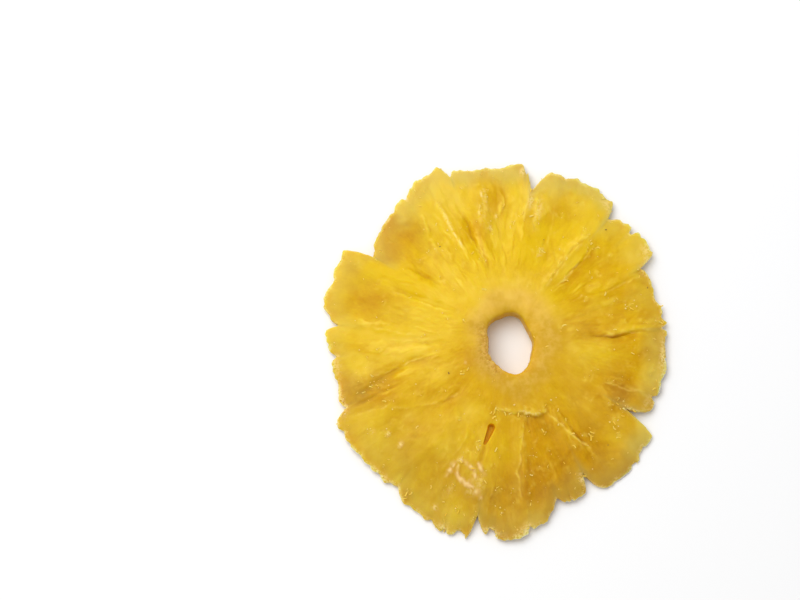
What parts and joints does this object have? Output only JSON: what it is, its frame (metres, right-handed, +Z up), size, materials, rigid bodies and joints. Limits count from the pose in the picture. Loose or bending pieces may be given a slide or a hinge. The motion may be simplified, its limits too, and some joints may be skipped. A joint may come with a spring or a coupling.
{
  "type": "dried pineapple ring",
  "caption": "Slice of candied dried pineapple: a thin scalloped disc of petals round a firm pale collar with a cored hole.",
  "frame": {"origin": "middle of the ring's box, on the surface that the ring lies on", "axes": "+Z up through the ring's thickness, +Y along its longest width"},
  "size_m": [0.077, 0.0858, 0.0066],
  "materials": {
    "dried_flesh": "moist translucent candied flesh, semi-gloss, streaked along its fibres, paler at the collar",
    "sugar_crystals": "clear to white sugar grains, glittering",
    "torn_fibres": "pale frayed fruit fibres, matt",
    "dark_specks": "small dry dark brown specks of peel"
  },
  "bodies": {
    "root": {"pineapple_ring": "dried_flesh"}
  },
  "joints": []
}
